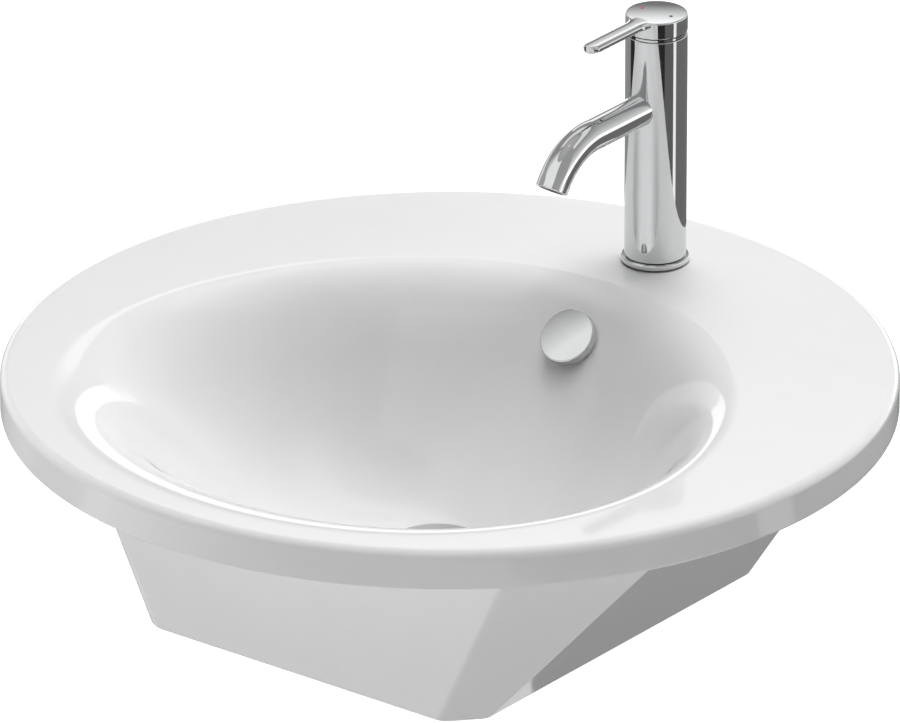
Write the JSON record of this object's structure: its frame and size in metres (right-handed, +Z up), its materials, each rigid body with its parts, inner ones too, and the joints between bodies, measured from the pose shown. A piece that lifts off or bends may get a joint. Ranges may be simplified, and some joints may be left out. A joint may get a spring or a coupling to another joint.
{
  "type": "vanity basin",
  "caption": "Round glazed ceramic vanity basin with a forward-set bowl, a splayed skirt underneath, a chrome lever mixer tap, a domed overflow cover and a push-open waste.",
  "frame": {"origin": "centre of the round rim's underside, in the plane of the counter's top", "axes": "+Z up, the user stands at -Y, the tap is at +Y, X across"},
  "size_m": [0.5794, 0.58, 0.3766],
  "materials": {
    "glaze": "white gloss glaze",
    "chrome": "polished",
    "brass": "turned",
    "steel": "plain",
    "rubber": "matte black",
    "white_plastic": "moulded",
    "grey_plastic": "moulded",
    "hot_inlay": "red",
    "cold_inlay": "blue"
  },
  "bodies": {
    "basin": {"basin_bowl": "glaze", "basin_deck": "glaze", "basin_skirt": "glaze", "basin_channel": "glaze", "overflow_cover": "chrome", "overflow_insert": "white_plastic", "waste_body": "chrome", "waste_flange_seal": "rubber", "waste_lower_seal": "rubber", "waste_washer": "white_plastic", "waste_nut": "brass", "plug_latch": "grey_plastic", "tap_base_ring": "chrome", "tap_base_seal": "rubber", "tap_column": "chrome", "spout": "chrome", "aerator_housing": "grey_plastic", "aerator_grid": "white_plastic", "cartridge_body": "grey_plastic", "cartridge_nut": "brass", "joint_ring": "chrome", "horseshoe_seal": "rubber", "horseshoe_washer": "steel", "fixing_nut": "brass", "fixing_stud": "steel"},
    "carrier": {"cartridge_carrier": "white_plastic", "pivot_pin": "steel"},
    "lever": {"lever_handle": "chrome", "cartridge_stem": "brass", "lever_grub_screw": "steel", "grub_screw_plug": "grey_plastic", "hot_mark": "hot_inlay", "cold_mark": "cold_inlay"},
    "plug": {"plug_cap": "chrome", "plug_seal": "rubber", "plug_stem": "brass"}
  },
  "joints": [
    {"name": "lever_turn", "type": "hinge", "parent": "basin", "child": "carrier", "pos_m": [0, 0.22, 0.189], "axis": [0, 0, 1], "range_deg": [-45, 45]},
    {"name": "lever_lift", "type": "hinge", "parent": "carrier", "child": "lever", "pos_m": [0, 0.228, 0.189], "axis": [-1, 0, 0], "range_deg": [0, 20]},
    {"name": "plug_slide", "type": "slide", "parent": "basin", "child": "plug", "axis": [0, 0, 1], "range_m": [0, 0.007]}
  ]
}
